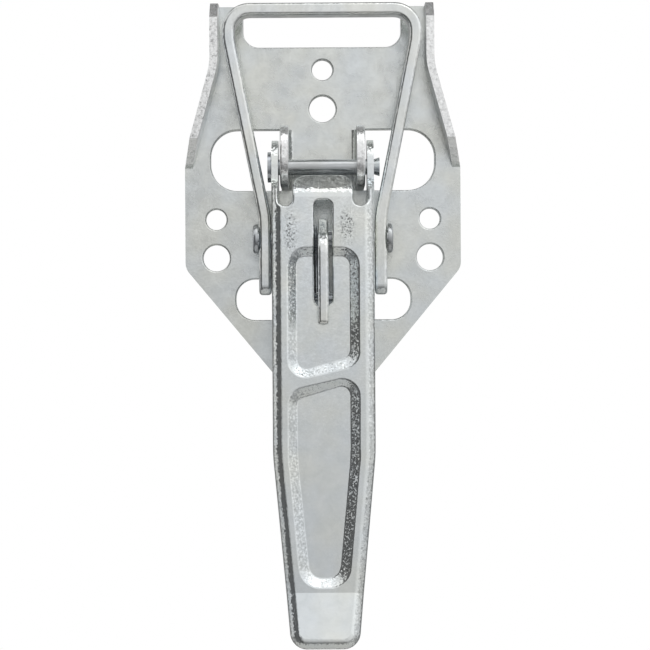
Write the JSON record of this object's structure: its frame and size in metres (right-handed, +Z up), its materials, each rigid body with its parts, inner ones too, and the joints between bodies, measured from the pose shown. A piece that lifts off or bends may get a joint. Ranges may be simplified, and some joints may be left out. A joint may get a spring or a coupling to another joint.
{
  "type": "trailer drop side latch",
  "caption": "Over-centre lever latch for a trailer drop side, with a folded base plate, channel lever, flat-bar bail and hooked catch.",
  "frame": {"origin": "midway between the two large side fixing holes, on the back face of the base plate", "axes": "+Z up along the latch towards the bail's closed end, +X across it, +Y into the board it is fixed to"},
  "size_m": [0.0874, 0.031, 0.1996],
  "materials": {
    "spring_wire": "plated spring wire",
    "zinc_bar": "bright zinc plate on flat bar",
    "zinc_hook": "bright zinc plate on blanked steel",
    "zinc_plate_sheet": "bright zinc plate on folded sheet steel",
    "zinc_pressed": "bright zinc plate on pressed sheet steel",
    "zinc_turned": "bright zinc plate on turned steel"
  },
  "bodies": {
    "base": {"base_plate": "zinc_plate_sheet", "lever_pin": "zinc_turned", "keeper_pin": "zinc_turned"},
    "handle": {"lever": "zinc_pressed", "bail_rivet": "zinc_turned", "catch_spring": "spring_wire"},
    "loop": {"bail": "zinc_bar"},
    "hook": {"catch_hook": "zinc_hook"}
  },
  "joints": [
    {"name": "lever_turn", "type": "hinge", "parent": "base", "child": "handle", "pos_m": [0, -0.014, 0.0277], "axis": [-1, 0, 0], "range_deg": [0, 150]},
    {"name": "bail_swing", "type": "hinge", "parent": "handle", "child": "loop", "pos_m": [0, -0.014, 0.0055], "axis": [-1, 0, 0], "range_deg": [-150, 0]},
    {"name": "catch_lift", "type": "hinge", "parent": "handle", "child": "hook", "pos_m": [0, -0.014, 0.0055], "axis": [-1, 0, 0], "range_deg": [0, 12], "stiffness_Nm_per_rad": 0.05, "springref_deg": -11.46, "deforming": ["catch_spring"]}
  ],
  "couplings": [
    {"joint": "bail_swing", "follows": "lever_turn", "ratio": -1}
  ]
}
